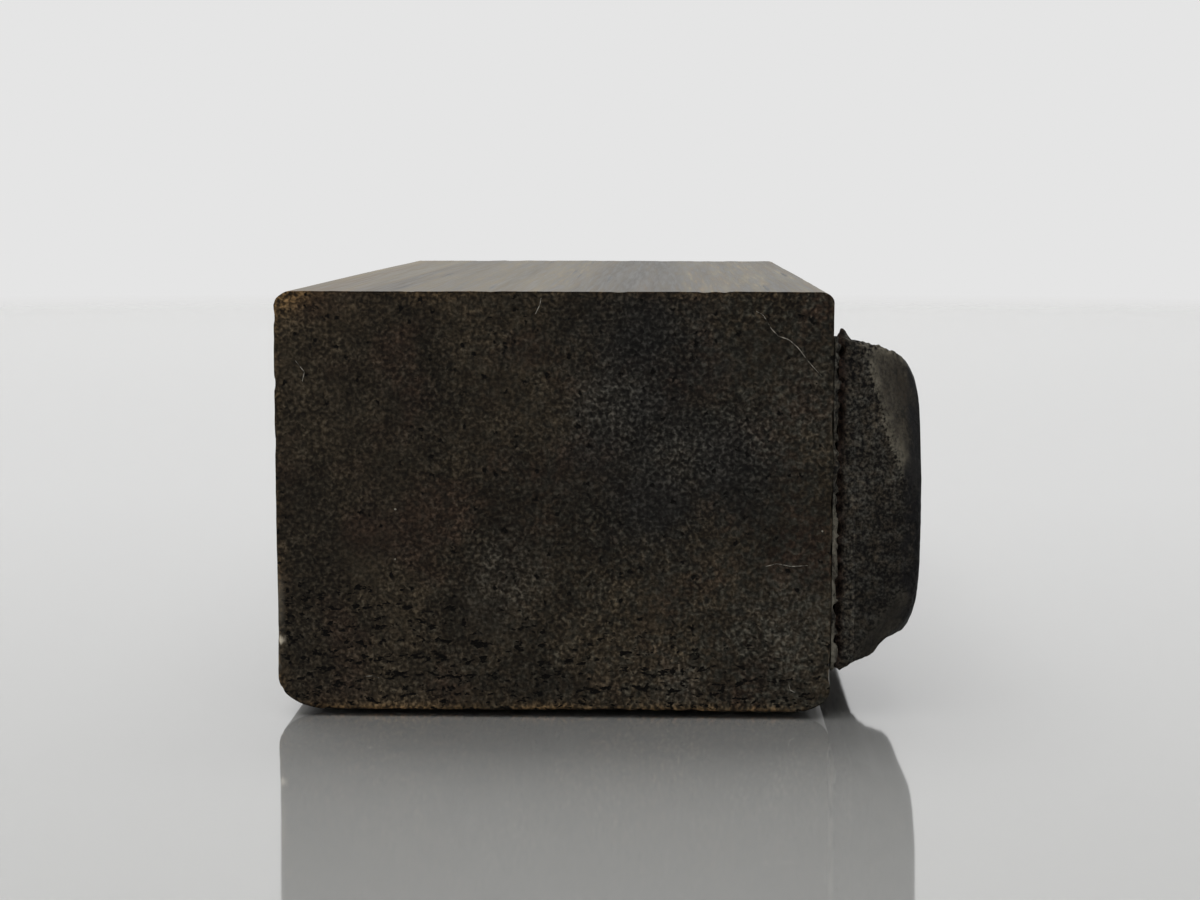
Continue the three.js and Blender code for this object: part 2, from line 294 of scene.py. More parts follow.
def stainedHardwood(name, cut):
    made, add, spot = startMaterial(name)
    w, ranges = hardwood, hardwood["ranges"]
    grain = add("Mapping", {"Vector": spot, "Scale": (1, 1 / w["fibreStretch"], 1)})
    sideways, upward = (add("SeparateXYZ", (spot,), out=axis) for axis in "XZ")
    level = add("Math", (sideways, w["pitTilt"], upward), operation="MULTIPLY_ADD")
    field = {}
    for number, (key, (cell, detail, rough, swirl)) in enumerate(w["fields"].items()):
        field[key] = add("TexNoise", {"Vector": grain, "W": w["apart"] * number, "Scale": 1 / cell,
                                      "Detail": detail, "Roughness": rough, "Distortion": swirl}, **fourWay)
    ragged = add("MapRange", (field["lumps"], *ranges["ragged"]))

    # ragged dots at scattered points, of which a share shows
    pull, start, full = w["dotEdge"]
    for key, (cell, radius, share) in w["dots"].items():
        scatter = {"Vector": grain, "Scale": 1 / cell}
        gap = add("TexVoronoi", scatter, out="Distance")
        luck = add("SeparateColor", (add("TexVoronoi", scatter, out="Color"),))
        edge = add("Math", (ragged, pull * radius, gap), operation="MULTIPLY_ADD")
        dot = add("MapRange", (edge, start * radius, full * radius))
        shown = add("Math", (luck, share), operation="LESS_THAN")
        field[key] = add("Math", (dot, shown), operation="MULTIPLY")

    # torn pits: the peaks of a noise that is drawn out along the growth rings and strongest on them
    bend = add("MapRange", (field["bend"], *ranges["bend"]))
    turned = add("Mapping", {"Vector": grain, "Rotation": (0, radians(w["ringTilt"]), 0)})
    rings = add("SeparateXYZ", (turned,), out="Z")
    rings = add("Math", (rings, 1 / w["ringSpacing"], bend), operation="MULTIPLY_ADD")
    rings = add("Math", (add("Math", (rings, 2 * pi), operation="MULTIPLY"),), operation="SINE")
    along, up = w["pitSize"]
    drawn = add("Mapping", {"Vector": turned, "Scale": (1 / along, 1, 1 / up)})
    peaks = add("TexNoise", {"Vector": drawn, "Scale": 1, "Detail": 2, "Roughness": 0.6})
    peaks = add("Math", (rings, w["ringPull"], peaks), operation="MULTIPLY_ADD")
    over = add("Math", (peaks, add("MapRange", (level, *ranges["torn"]))), operation="SUBTRACT")
    pits = add("MapRange", (over, *ranges["pits"]), **soft)
    pits = add("Math", (pits, field["pore"]), operation="MAXIMUM")
    specks = add("Math", (field["speck"], cut["specks"]), operation="MULTIPLY")

    # ink and dust lie in a few broad spots with ragged edges
    spread = {}
    for key, (strength, *places) in w["spots"].items():
        spread[key] = 0
        for x, z, size in places:
            centred = add("VectorMath", (spot, (x, 0, z)), operation="SUBTRACT")
            flat = add("VectorMath", (centred, (1 / size, 0, 1 / size)), operation="MULTIPLY")
            far = add("VectorMath", (flat,), out="Value", operation="LENGTH")
            far = add("Math", (field["spotEdge"], w["spotPull"], far), operation="MULTIPLY_ADD")
            near = add("MapRange", (far, *ranges["spots"], strength, 0), **soft)
            spread[key] = add("Math", (spread[key], near), operation="MAXIMUM")
    dusty = add("MapRange", (ragged, *ranges["dusty"]))
    spread["dust"] = add("Math", (spread["dust"], dusty), operation="MULTIPLY")

    # colour: patches of tone, then one mask after the other
    marks = ("wornEdge", "bareWood", "grimeAndShade")
    worn, bare, grimeAndShade = (add("Attribute", out="Fac", attribute_name=key) for key in marks)
    worn = add("Math", (worn, add("MapRange", (ragged, *ranges["wearing"]))), operation="MULTIPLY")
    patch = add("MapRange", (field["tone"], *ranges["tone"]), **soft)
    warm = add("MapRange", (field["warmth"], *ranges["warm"]), **soft)
    grey = add("MapRange", (field["tint"], *ranges["grey"]), **soft)
    grey = add("Math", (grey, add("MapRange", (sideways, *ranges["greying"]))), operation="MULTIPLY")
    colour = add("Mix", {0: patch, 6: linear(cut["dark"]), 7: linear(cut["light"])}, **blend)
    for mask, code in [(warm, cut["warm"]), (grey, cut["grey"]), (spread["ink"], w["ink"]),
                       (spread["dust"], w["dust"]), (worn, w["worn"])]:
        colour = add("Mix", {0: mask, 6: colour, 7: linear(code)}, **blend)

    # shade of the fibres: contrast to the power of the ragged noise, times the clumps and painted light on
    # the low part
    contrast = add("MapRange", (spread["ink"], 0, 1, *cut["contrast"]))
    uneven = add("MapRange", (field["spotEdge"], *ranges["uneven"]))
    contrast = add("Math", (contrast, uneven), operation="MULTIPLY")
    shade = add("Math", (contrast, ragged), operation="POWER")
    clumps = add("MapRange", (field["clumps"], *ranges["clumps"]))
    for part in (clumps, add("MapRange", (upward, *ranges["paintedLowLight"]), **soft)):
        shade = add("Math", (shade, part), operation="MULTIPLY")
    shadeColour = add("CombineColor", (shade, shade, shade))
    colour = add("Mix", {0: 1, 6: colour, 7: shadeColour}, blend_type="MULTIPLY", **blend)
    # then pits, specks, bare wood, and painted shade on the faces turned down, in the pit colour
    for mask, key in [(pits, "pit"), (specks, "speck"), (bare, "bare"), (grimeAndShade, "pit")]:
        colour = add("Mix", {0: mask, 6: colour, 7: linear(w[key])}, **blend)
    height = add("Math", (pits, w["pitDepth"], field["lumps"]), operation="MULTIPLY_ADD")
    bump = add("Bump", {"Height": height, "Strength": cut["bump"], "Distance": w["relief"] * mm})
    least, most = cut["roughness"] - w["shineChange"], cut["roughness"] + w["shineChange"]
    shine = add("MapRange", (field["lumps"], *ranges["ragged"][:2], least, most))
    shader = add("BsdfPrincipled", {"Base Color": colour, "Roughness": shine, "Normal": bump,
                                    "Specular IOR Level": cut["specular"], "IOR": 1.5})
    add("OutputMaterial", {"Surface": shader})
    return made


# Wood mount: a rounded section carried along the block, with capped ends. The ends are eased by an amount
# that changes round the section. The surface is then pressed in along its normal by slow waves, fine grain
# and chips, so it never stands out of the drawn box.
mount = {
    "columns": 176,
    "rows": 138,
    "crowding": 0.55,
    "straightRings": 47,
    "easeRings": 6,
    "lengthCrowding": 0.85,
    "corners": ((2.1, 1.5), (1.5, 1.1), (0.6, 0.5), (0.75, 0.7)),  # along X and up, from the lower back edge
    "cornerInset": 0.7,  # a corner's radius shrinks by this share of the ease
    "endEase": 0.07,
    "lowerEase": 0.16,
    "gripEase": 0.26,  # the back edge of the near end, most worn at gripHeight
    "gripHeight": 4.4,
    "gripSpread": 3,
    "easeReach": 1.2,
    "liftedEdge": 0.08,  # the near lower edge is worn off the table
    "liftReach": (4.5, 3.5),
    "endPress": 0.03,
    "waveDepth": 0.035,
    "grainDepth": 0.02,
    "chipDepth": 0.13,
    "chipReach": 0.3,
    "chipRange": (0.35, 0.8),  # of the noise, from where it chips, and the most over that
    "cells": {  # size of each noise
        "waves": (7, 22, 6),
        "endGrain": (0.35, 6, 0.3),
        "longGrain": (0.6, 14, 0.6),
        "chips": (0.9, 2.2, 0.9),
        "patches": (1.5, 3, 1.5),
        "scuffs": (0.35, 0.5, 0.45),
    },
    "wearReach": 0.2,
    "wearLow": (0.3, 0.8),  # share of the worn line that is left high up, and the height over which it falls
    "cornerWear": 1.3,
    "topWear": (0.6, 5),  # depth of the brown strip under the upper edge, and how far it runs from the back
    "wearShares": ((0.9, 0.8), (0.8, 0.5), (0.6, 0.6)),  # even and patchy: line, corners, strip
    "besideDie": (4, 0.15),  # wear falls off over this distance, down to this share
    "paleStrip": (4, 1.6, 0.28),  # height, half length and width of the scuffed place on the grip's edge
    "scuffRange": (0.35, 9),  # of the noise, from where it is scuffed, and how sharply
    "bareShares": (0.12, 0.15, 0.85),  # even, patchy and chipped
    # painted shade: how dark the faces turned down are made
    "grimeAndShade": 0.85,
}


def makeWoodMount(endMaterial, sideMaterial):
    low, high = (np.array(corner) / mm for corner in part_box("wood_mount"))
    columns, rows = mount["columns"], mount["rows"]
    lines = (crowdedLine(count + 1, mount["crowding"]) for count in (columns, rows))
    u, v = np.meshgrid(*lines, indexing="ij")
    rim = rimOrder(columns, rows)
    angle = np.linspace(0, np.pi / 2, mount["easeRings"] + 1)
    straight = -crowdedLine(mount["straightRings"] + 2, mount["lengthCrowding"])[1:-1]
    half, middle = (high[1] - low[1]) / 2, (high[1] + low[1]) / 2

    # ease of the end edges at a place on the plain section: falls off with the distance from the bed, and
    # from the grip by a bell up the back edge
    def easeAt(u, v):
        fromBack, fromBed = (u + 1) / 2 * (high[0] - low[0]), (v + 1) / 2 * (high[2] - low[2])
        upGrip = (fromBed - mount["gripHeight"]) / mount["gripSpread"]
        grip = mount["gripEase"] * np.exp(-fromBack / mount["easeReach"] - upGrip**2)
        return mount["endEase"] + mount["lowerEase"] * np.exp(-fromBed / mount["easeReach"]) + grip

    # the rounded section, brought in by an inset that also sharpens its corners
    def section(u, v, inset):
        edges = (low[0] + inset, high[0] - inset, low[2] + inset, high[2] - inset)
        less = mount["cornerInset"] * inset
        return roundedRectangle(u, v, edges, [(r1 - less, r2 - less) for r1, r2 in mount["corners"]])

    rimEase = easeAt(u[rim], v[rim])
    insetShare = np.concatenate([1 - np.sin(angle), 0 * straight, 1 - np.sin(angle[::-1])])
    depthShare = np.concatenate([1 - np.cos(angle), 0 * straight, 1 - np.cos(angle[::-1])])
    place = np.concatenate([0 * angle + 1, straight, 0 * angle - 1])
    ringX, ringZ = section(u[rim][None, :], v[rim][None, :], insetShare[:, None] * rimEase)
    edgeDepth = np.where(np.abs(place) == 1, depthShare, 1)[:, None] * rimEase
    ringY = middle + place[:, None] * (half - edgeDepth)
    wall = np.stack([ringX, ringY, ringZ], axis=-1)
    inner = u[1:-1, 1:-1], v[1:-1, 1:-1]
    capX, capZ = section(*inner, easeAt(*inner))
    caps = [np.stack([capX, np.full_like(capX, y), capZ], axis=-1) for y in (high[1], low[1])]
    points = np.concatenate([wall.reshape(-1, 3)] + [cap.reshape(-1, 3) for cap in caps])
    ringCount, length = ringX.shape
    insideStart = [ringCount * length, ringCount * length + capX.size]
    backQuads = capQuads(columns, rows, 0, insideStart[0])[:, ::-1]
    frontQuads = capQuads(columns, rows, (ringCount - 1) * length, insideStart[1])
    sideQuads = wallQuads(ringCount, length)
    quads = np.concatenate([sideQuads, backQuads, frontQuads])

    # distances to the faces, smallest first: the second is the distance to an edge, the third to a corner
    toFace = np.sort(np.minimum(points - low, high - points), axis=1)
    fromBack, fromEnd, fromBed = (points - low).T

    # the lifted edge: raised by a bell along the block and over the first millimetres of height
    alongReach, upReach = mount["liftReach"]
    nearEnd = np.exp(-((fromEnd / alongReach) ** 2))
    points[:, 2] += mount["liftedEdge"] * nearEnd * np.clip(1 - fromBed / upReach, 0, 1) ** 2
    normals = outwardNormals(points, quads)
    nearEdge = np.exp(-((toFace[:, 1] / mount["chipReach"]) ** 2))
    endFacing = np.abs(normals[:, 1])
    cells = mount["cells"]
    waves, endGrain, longGrain = (
        0.5 + 0.5 * np.clip(roughNoise(points, cells[key], seed, 2), -1, 1)
        for seed, key in enumerate(("waves", "endGrain", "longGrain"), 1))
    chipFrom, chipMost = mount["chipRange"]
    chips = np.clip(roughNoise(points, cells["chips"], 4, 4) - chipFrom, 0, chipMost)
    pressed = mount["waveDepth"] * waves + mount["endPress"] * endFacing**8
    pressed += mount["grainDepth"] * (endFacing * endGrain + (1 - endFacing) * longGrain)
    pressed += mount["chipDepth"] * nearEdge * chips
    points -= pressed[:, None] * normals

    # wear: a thin line along the edges, stronger low down and weak beside the die, brown upper corners,
    # and a pale strip with chips on the edge that is gripped
    patchy = roughNoise(points, cells["patches"], 6, 3)
    tall = high[2] - low[2]
    left, fall = mount["wearLow"]
    edgeLine = np.exp(-toFace[:, 1] / mount["wearReach"]) * (left + (1 - left) * np.exp(-fromBed / fall))
    toCorner = (toFace[:, 1] + toFace[:, 2]) / mount["cornerWear"]
    corners = np.exp(-(toCorner**2)) * (fromBed > tall / 2)
    depth, run = mount["topWear"]
    topStrip = np.exp((fromBed - tall) / depth - fromBack / run) * endFacing
    marks = zip((edgeLine, corners, topStrip), mount["wearShares"])
    wornEdge = sum(mark * (even + spotted * patchy) for mark, (even, spotted) in marks)
    reach, least = mount["besideDie"]
    wornEdge = np.clip(wornEdge, 0, 1) * np.clip((high[0] - points[:, 0]) / reach, least, 1)
    place, halfLength, width = mount["paleStrip"]
    strip = np.exp(-(((fromBed - place) / halfLength) ** 4))
    strip = strip * np.clip(1.5 - (fromBack + fromEnd) / width, 0, 1)
    scuffFrom, sharpness = mount["scuffRange"]
    chipped = np.clip(sharpness * (roughNoise(points, cells["scuffs"], 8, 3) - scuffFrom), 0, 1)
    even, spotted, torn = mount["bareShares"]
    bareWood = strip * np.clip(even + spotted * patchy + torn * chipped, 0, 1)
    # painted shade: faces turned down are darkened towards the pit colour
    grimeAndShade = mount["grimeAndShade"] * np.clip(-normals[:, 2], 0, 1) ** 4

    # the eased rings and the caps are end grain, and the rest of the wall is side grain
    easeCount = mount["easeRings"] * length
    second = np.zeros(len(quads))
    second[easeCount:len(sideQuads) - easeCount] = 1
    made = makePiece("woodMount", points, quads, [endMaterial, sideMaterial],
                     {"wornEdge": wornEdge, "bareWood": bareWood, "grimeAndShade": grimeAndShade}, second=second)
    return finishPiece(made, "wood_mount")


makeWoodMount(stainedHardwood("sawnEndGrain", sawnEnd), stainedHardwood("handledSideGrain", planedSide))
print("wood mount made")


# Lint: a few loose fibres that lie on the near end, as thin tubes along smoothed paths, finer at their
# ends by the root of a sine
lint = {
    "thickness": 0.038,
    "sides": 6,
    "steps": 40,
    "tipAngle": 0.15,  # of the sine, at either end
    "offEnd": 0.026,  # middle of a fibre, inwards from the drawn end
    "paths": (  # places on the end as X and Z
        ((6.7, 17.45), (7.0, 17.3), (7.35, 16.7), (7.65, 16.4), (8.1, 16.25), (8.5, 15.9), (8.95, 15.3),
         (9.5, 14.7)),
        ((7.2, 6.5), (7.7, 6.62), (8.3, 6.5), (9.0, 6.55)),
        ((-2.7, 17.3), (-2.5, 17.7), (-2.45, 18.0)),
        ((-13.0, 15.3), (-12.6, 14.8), (-12.7, 14.4)),
        ((8.2, 1.5), (8.3, 1.1), (8.5, 1.0)),
        ((-10.2, 1.55), (-9.8, 1.6), (-9.5, 1.5)),
    ),
    "fleck": 0.25,
    "fleckRange": (0.4, 0.62),
    "dark": "#2b2822",
    "pale": "#9a958a",
}


# Cotton lint: matt and pale, dulled by grime
def greyLint():
    made, add, spot = startMaterial("greyLint")
    flecks = add("TexNoise", {"Vector": spot, "Scale": 1 / lint["fleck"], "Detail": 2})
    flecks = add("MapRange", (flecks, *lint["fleckRange"]))
    colour = add("Mix", {0: flecks, 6: linear(lint["dark"]), 7: linear(lint["pale"])}, **blend)
    add("OutputMaterial", {"Surface": add("BsdfPrincipled", {
        "Base Color": colour, "Roughness": 0.9, "Specular IOR Level": 0.2, "IOR": 1.53})})
    return made


def makeLint(material):
    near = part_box("wood_mount")[0].y / mm + lint["offEnd"]
    sides, steps, tip = lint["sides"], lint["steps"], lint["tipAngle"]
    turn = np.linspace(0, 2 * np.pi, sides, endpoint=False)
    radius = lint["thickness"] / 2 * np.sqrt(np.sin(np.linspace(tip, np.pi - tip, steps)))[:, None]
    for number, path in enumerate(lint["paths"]):
        path = np.array(path)
        share = np.linspace(0, len(path) - 1, steps)
        middle = np.stack([np.interp(share, np.arange(len(path)), path[:, k]) for k in (0, 1)], axis=1)
        middle[1:-1] = (middle[:-2] + 2 * middle[1:-1] + middle[2:]) / 4
        along = np.gradient(middle, axis=0)
        side = np.stack([-along[:, 1], along[:, 0]], axis=1) / np.linalg.norm(along, axis=1, keepdims=True)
        ring = radius * np.cos(turn)
        points = np.stack([middle[:, :1] + side[:, :1] * ring, near + radius * np.sin(turn),
                           middle[:, 1:] + side[:, 1:] * ring], axis=-1)
        ends = [np.arange(sides)[::-1], (steps - 1) * sides + np.arange(sides)]
        made = makePiece(f"lint{number + 1}", points.reshape(-1, 3), wallQuads(steps, sides), [material], {},
                         flatFaces=ends)
        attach(made, "root")


makeLint(greyLint())
print("lint made")


# The glued stack: four layers inside one outline, trimmed by hand with a knife. Heights are above the wood.
stack = {
    "centreZ": 8.925,  # at the near end
    "length": 52.2,
    "width": 14.05,
    "farWidth": 11,  # its upper side runs down towards the far end
    "columns": 190,
    "rows": 130,
    "columnCrowding": 0.75,
    "rowCrowding": 0.35,
    "heights": (0, 0.4, 1, 1.6, 1.92, 2.16, 2.5, 2.8, 3.1, 3.35, 3.6, 3.8, 3.9),
    "upperIn": (0, 0.03, 0.12, 0.24, 0.3, 0.37, 0.48, 0.58, 0.72, 0.92, 1.2, 1.48, 1.75),
    "lowerIn": (0.08, 0.02, 0.22, 0.45, 0.6, 0.9, 1.18, 1.26, 1.38, 1.42, 1.64, 1.95, 2.2),
    "endIn": (0, 0, 0.02, 0.06, 0.09, 0.12, 0.18, 0.25, 0.34, 0.44, 0.56, 0.72, 0.9),
    "upperRadius": (0.4, 0.4, 0.5, 0.6, 0.7, 0.8, 1, 1.2, 1.5, 1.8, 2.2, 2.5, 2.7),
    "lowerRadius": (0.5, 0.5, 0.6, 0.7, 0.9, 1, 1.2, 1.5, 1.8, 2.1, 2.4, 2.6, 2.7),
    "flare": 0.37,  # the upper side stands out by this at the near end and dies away
    "flareReach": 7,
    "sag": 0.2,  # worn off the long edges of the printing face
    "waver": (0.06, (2.2, 4.5, 2.6)),  # depth and size
    "fineWaver": (0.03, (0.6, 0.9, 0.6)),
    "burrHeight": 0.62,
    "burrPlace": (0.5, 2.4),  # height, and distance from the near end
    "burrSpread": (0.3, 0.55),
    "uncut": -9.0,  # stands for the distance over an end cut where none is near
}

# Flat knife cuts across the ends: each falls back from the end by slope for each millimetre above a ridge,
# which starts at height where z is place and tilts along z
endCuts = (
    {"slope": 0.55, "height": 2.72, "place": 0, "tilt": 0},
    {"slope": 0.75, "height": 2.67, "place": 1.35, "tilt": -0.247},
    {"slope": 0.6, "height": 2.61, "place": -3.42, "tilt": 0.57},
)

# Printing form on the plate: a tall panel at the near end and a lower line of boxes behind it. Both have a
# frame and share a long rule, a solid bar fills the step between them, with rounded pockets between rules.
form = {
    "shoulder": 1.8,  # height of the plate, from which the form rises
    "ledge": 0.02,
    "panelLength": 10.8,
    "panelStep": 2.4,
    "lineShare": 0.52,  # height of the line over that of the panel
    "ruleWidth": 0.8,
    "pocketDepth": 0.85,
    "stripHeight": 2.1,
    "boxCount": 3,
    "profileOffset": (0.33, 0.41, 0.56, 0.64),  # from the middle of a rule
    "profileRise": (1, 0.93, 0.07, 0),
    "lineGap": 0.07,  # a grid line closer than this to the edge of a rule is left out
}


# Edges and corner radii of the outline at a height, by straight lines between the numbers above
def outlineEdges(height):
    half, side = stack["length"] / 2, stack["width"] / 2
    ends, lower, upper, lowerRadius, upperRadius = (
        np.interp(height, stack["heights"], stack[key])
        for key in ("endIn", "lowerIn", "upperIn", "lowerRadius", "upperRadius"))
    radii = [(r, r) for r in (lowerRadius, lowerRadius, upperRadius, upperRadius)]
    return (ends - half, half - ends, lower - side, side - upper), radii


# Unit vectors that point out of closed loops in the plane: the step between a point's neighbours, turned
def outwardOf(loops):
    step = np.roll(loops, -1, axis=-2) - np.roll(loops, 1, axis=-2)
    normal = np.stack([step[..., 1], -step[..., 0]], axis=-1)
    return normal / np.linalg.norm(normal, axis=-1, keepdims=True)


# Lines of the stack's grid from -1 to 1, with extra ones along the edges of the rules. Also gives the
# middles of the bar and the cross rules, how much wider than a rule each one is on either side, and the
# middle of the long rule.
def stackLines():
    edges = outlineEdges(stack["heights"][-1])[0]
    width, count = form["ruleWidth"], form["boxCount"]
    back = width + form["profileOffset"][-1] - form["profileOffset"][0]
    halfLong, halfWide = (edges[1] - edges[0]) / 2 - back, (edges[3] - edges[2]) / 2 - back
    step = form["panelLength"] - stack["length"] / 2
    lineFront = step + form["panelStep"] + width
    pitch = (edges[1] - lineFront) / count
    crossRules = lineFront - width / 2 + pitch * np.arange(1, count)
    middles = np.array([step + form["panelStep"] / 2, *crossRules])
    wider = np.where(np.arange(count) == 0, (form["panelStep"] + width) / 2, 0)
    longPlace = halfWide - form["stripHeight"] - width / 2
    offsets = np.array([*(-np.array(form["profileOffset"])[::-1]), 0, *form["profileOffset"]])
    barEdges = middles[:, None] + offsets + np.sign(offsets) * wider[:, None]
    lines = []
    for key, places, half in [("column", barEdges, halfLong), ("row", longPlace + offsets, halfWide)]:
        line = crowdedLine(stack[key + "s"] + 1, stack[key + "Crowding"])
        wanted = places.ravel() / half
        apart = np.abs(line[:, None] - wanted).min(axis=1) > form["lineGap"] / half
        apart[[0, -1]] = True
        lines.append(np.sort(np.concatenate([line[apart], wanted])))
    return *lines, middles, wider, longPlace + (edges[2] + edges[3]) / 2


columnLine, rowLine, barMiddles, barWider, longPlace = stackLines()
stackU, stackV = np.meshgrid(columnLine, rowLine, indexing="ij")
stackRim = rimOrder(len(columnLine) - 1, len(rowLine) - 1)


# Loops of the trimmed outline at several heights: rounded rectangles that come in with height, then the
# flare, the end cuts, the wavering of the hand along the wall and the burr on the upper side. Also gives
# the outward directions, height and place of each point, and how far it stood over the nearest end cut,
# which is negative where no cut reached it.
def trimmedLoops(heights):
    heights = np.asarray(heights, float)[:, None]
    y, z = roundedRectangle(stackU[stackRim][None, :], stackV[stackRim][None, :], *outlineEdges(heights))
    half, side = stack["length"] / 2, stack["width"] / 2
    flare = stack["flare"] * np.exp(-(((y + half) / stack["flareReach"]) ** 2))
    z = z + flare * np.clip(z / side, 0, 1) ** 2
    overCut = np.full(y.shape, stack["uncut"])
    for end in (-1, 1):
        for cut in endCuts:
            ridge = cut["height"] + cut["tilt"] * (z - cut["place"])
            over = end * y - half + cut["slope"] * (heights - ridge)
            overCut = np.maximum(overCut, over)
            reach = 1 + (cut["slope"] * cut["tilt"]) ** 2
            y = y - end * np.clip(over, 0, None) / reach
            z = z + np.clip(over, 0, None) * cut["slope"] * cut["tilt"] / reach
    loops = np.stack([y, z], axis=-1)
    normal = outwardOf(loops)
    spots = np.stack([heights + 0 * y, y, z], axis=-1)
    burr = sum(((value - place) / spread) ** 2 for value, place, spread
               in zip((heights, y + half), stack["burrPlace"], stack["burrSpread"]))
    waver = stack["burrHeight"] * np.exp(-burr) * np.clip(normal[..., 1], 0, 1)
    for key, seed in (("waver", 21), ("fineWaver", 23)):
        depth, cell = stack[key]
        waver = waver + depth * roughNoise(spots, cell, seed, 2)
    loops = loops + waver[..., None] * normal
    return loops, normal, np.concatenate([spots[..., :1], loops], axis=-1), overCut


# Heights and outlines of the stack to places in the part: sagged at the long edges of the face, squeezed
# up into the line where relief lies behind the panel, narrowed towards the far end from the upper side,
# then set on the wood
def onMount(height, y, z, relief=False):
    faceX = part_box("wood_mount")[1].x / mm
    length, side = stack["length"], stack["width"] / 2
    sunk = stack["sag"] * (z / side) ** 2 * (height / stack["heights"][-1]) ** 4
    if relief:
        step = np.clip((y + length / 2 - form["panelLength"]) / form["panelStep"], 0, 1)
        top = side - stack["upperIn"][-1]
        z = top + (z - top) * (1 - (1 - form["lineShare"]) * step * step * (3 - 2 * step))
    narrowing = 1 - (1 - stack["farWidth"] / stack["width"]) * (0.5 + y / length)
    return np.stack([faceX + height - sunk, y, stack["centreZ"] + (z + side) * narrowing - side], axis=-1)


# Lower and upper height of a drawn layer above the wood
def layerHeights(node):
    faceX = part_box("wood_mount")[1].x
    return [(corner.x - faceX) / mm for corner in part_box(node)]


# A layer of the stack: its loops as a wall, closed by flat faces
def makeLayer(name, heights, loops, material, attributes):
    points = onMount(heights, loops[..., 0], loops[..., 1])
    ringCount, length = points.shape[:2]
    caps = [np.arange(length)[::-1], (ringCount - 1) * length + np.arange(length)]
    values = {key: value.ravel() for key, value in attributes.items()}
    return makePiece(name, points.reshape(-1, 3), wallQuads(ringCount, length), [material], values,
                     flatFaces=caps)


# Knife-torn rubber of sponge, glue edge and die: one fine crumb of dark hollows and paler crests runs over
# all three, pressed into the wall and seen in its colour. Sizes are in millimetres.
crumb = {
    "depth": 0.07,
    "cell": 0.22,
    "sunk": 0.4,  # taken off the noise, so that the crumb seldom stands out
    "size": 0.15,
    "detail": 1,
    "roughness": 0.62,
    "patch": 0.9,
    "patchShare": 0.4,
    "crestRange": (0.5, 1),
    "crests": 1.6,  # the higher, the fewer pale crests there are among the hollows
    "dark": "#080706",
    "tint": 0.45,
    "tintApart": 4,
    "tintRange": (0.38, 0.62),
    "light": "#57554e",
    "brown": "#544c40",
}


# Depth of the crumb on the wall: a rough noise, less what it is sunk by
def crumbDepth(spots):
    return crumb["depth"] * (roughNoise(spots, (crumb["cell"],) * 3, 42, 3) - crumb["sunk"])


# Crumb noise for a material, and its colour from hollows to crests
def addCrumb(add, spot):
    c = crumb
    grain = add("TexNoise", {"Vector": spot, "Scale": 1 / c["size"], "Detail": c["detail"],
                             "Roughness": c["roughness"]})
    patch = add("TexNoise", {"Vector": spot, "Scale": 1 / c["patch"], "Detail": 2})
    both = add("Math", (patch, c["patchShare"], grain), operation="MULTIPLY_ADD")
    share = add("Math", (add("MapRange", (both, *c["crestRange"])), c["crests"]), operation="POWER")
    tint = add("TexNoise", {"Vector": spot, "W": c["tintApart"], "Scale": 1 / c["tint"], "Detail": 2},
               **fourWay)
    tint = add("MapRange", (tint, *c["tintRange"]))
    light = add("Mix", {0: tint, 6: linear(c["light"]), 7: linear(c["brown"])}, **blend)
    return grain, add("Mix", {0: share, 6: linear(c["dark"]), 7: light}, **blend)


# Dried rubber cement, squeezed out as a thin bead: dull and pale, broken up by grime, cleaner low down
cement = {
    "pale": "#625e54",
    "lump": 0.2,
    "patch": 0.9,
    "clean": (13.5, 6.5, -0.12, 0.16),  # heights, and how much paler it is there
    "paleRange": (1.25, 1.6),  # of lumps and patches together
    "paleShift": 0.5,  # how far paleness moves that range
    "relief": 0.06,
}


def driedCement(name, paleness):
    made, add, spot = startMaterial(name)
    grimeAndShade = addCrumb(add, spot)[1]
    lumps = add("TexNoise", {"Vector": spot, "Scale": 1 / cement["lump"], "Detail": 4, "Roughness": 0.65})
    patches = add("TexNoise", {"Vector": spot, "Scale": 1 / cement["patch"], "Detail": 2})
    clean = add("MapRange", (add("SeparateXYZ", (spot,), out="Z"), *cement["clean"]), **soft)
    both = add("Math", (add("Math", (lumps, patches), operation="ADD"), clean), operation="ADD")
    start, full = (edge - cement["paleShift"] * paleness for edge in cement["paleRange"])
    share = add("MapRange", (both, start, full), **soft)
    colour = add("Mix", {0: share, 6: grimeAndShade, 7: linear(cement["pale"])}, **blend)
    bump = add("Bump", {"Height": lumps, "Strength": 0.6, "Distance": cement["relief"] * mm})
    add("OutputMaterial", {"Surface": add("BsdfPrincipled", {
        "Base Color": colour, "Roughness": 0.75, "Normal": bump, "Specular IOR Level": 0.2, "IOR": 1.5})})
    return made


# A glue film: the outline of the stack with a ragged bead and short gaps. By the cosine of its squared
# height the bead is full at the wood and gone at the other side. A film with no bead is torn like rubber.
glue = {
    "rings": 7,
    "ragged": 0.09,
    "cell": (0.3, 0.3, 0.3),
    "bead": (0.06, 0.2),  # along the sides, and across the near end
    "most": (0.12, 0.32),  # it stands out no further than this there
    "gap": 0.4,
    "gapCell": (3, 0.9, 0.7),
    "gapRange": (0.3, 0.5),  # of the noise, from where there is a gap, and the most over that
    "gapFade": (6, 0.6, 0.1),  # fewer low down: height of the fall, share in the middle, and the least
    "wander": 0.14,  # how far its edge strays over the cushion at the near end
    "wanderCell": (1, 0.22, 0.22),
    "films": (  # piece, node, cement, its paleness, and 1 for a bead
        ("mountGlue", "mount_glue", "driedCement", 0.64, 1),
        ("dieGlue", "die_glue", "grimyCement", -1, 0),
    ),
}


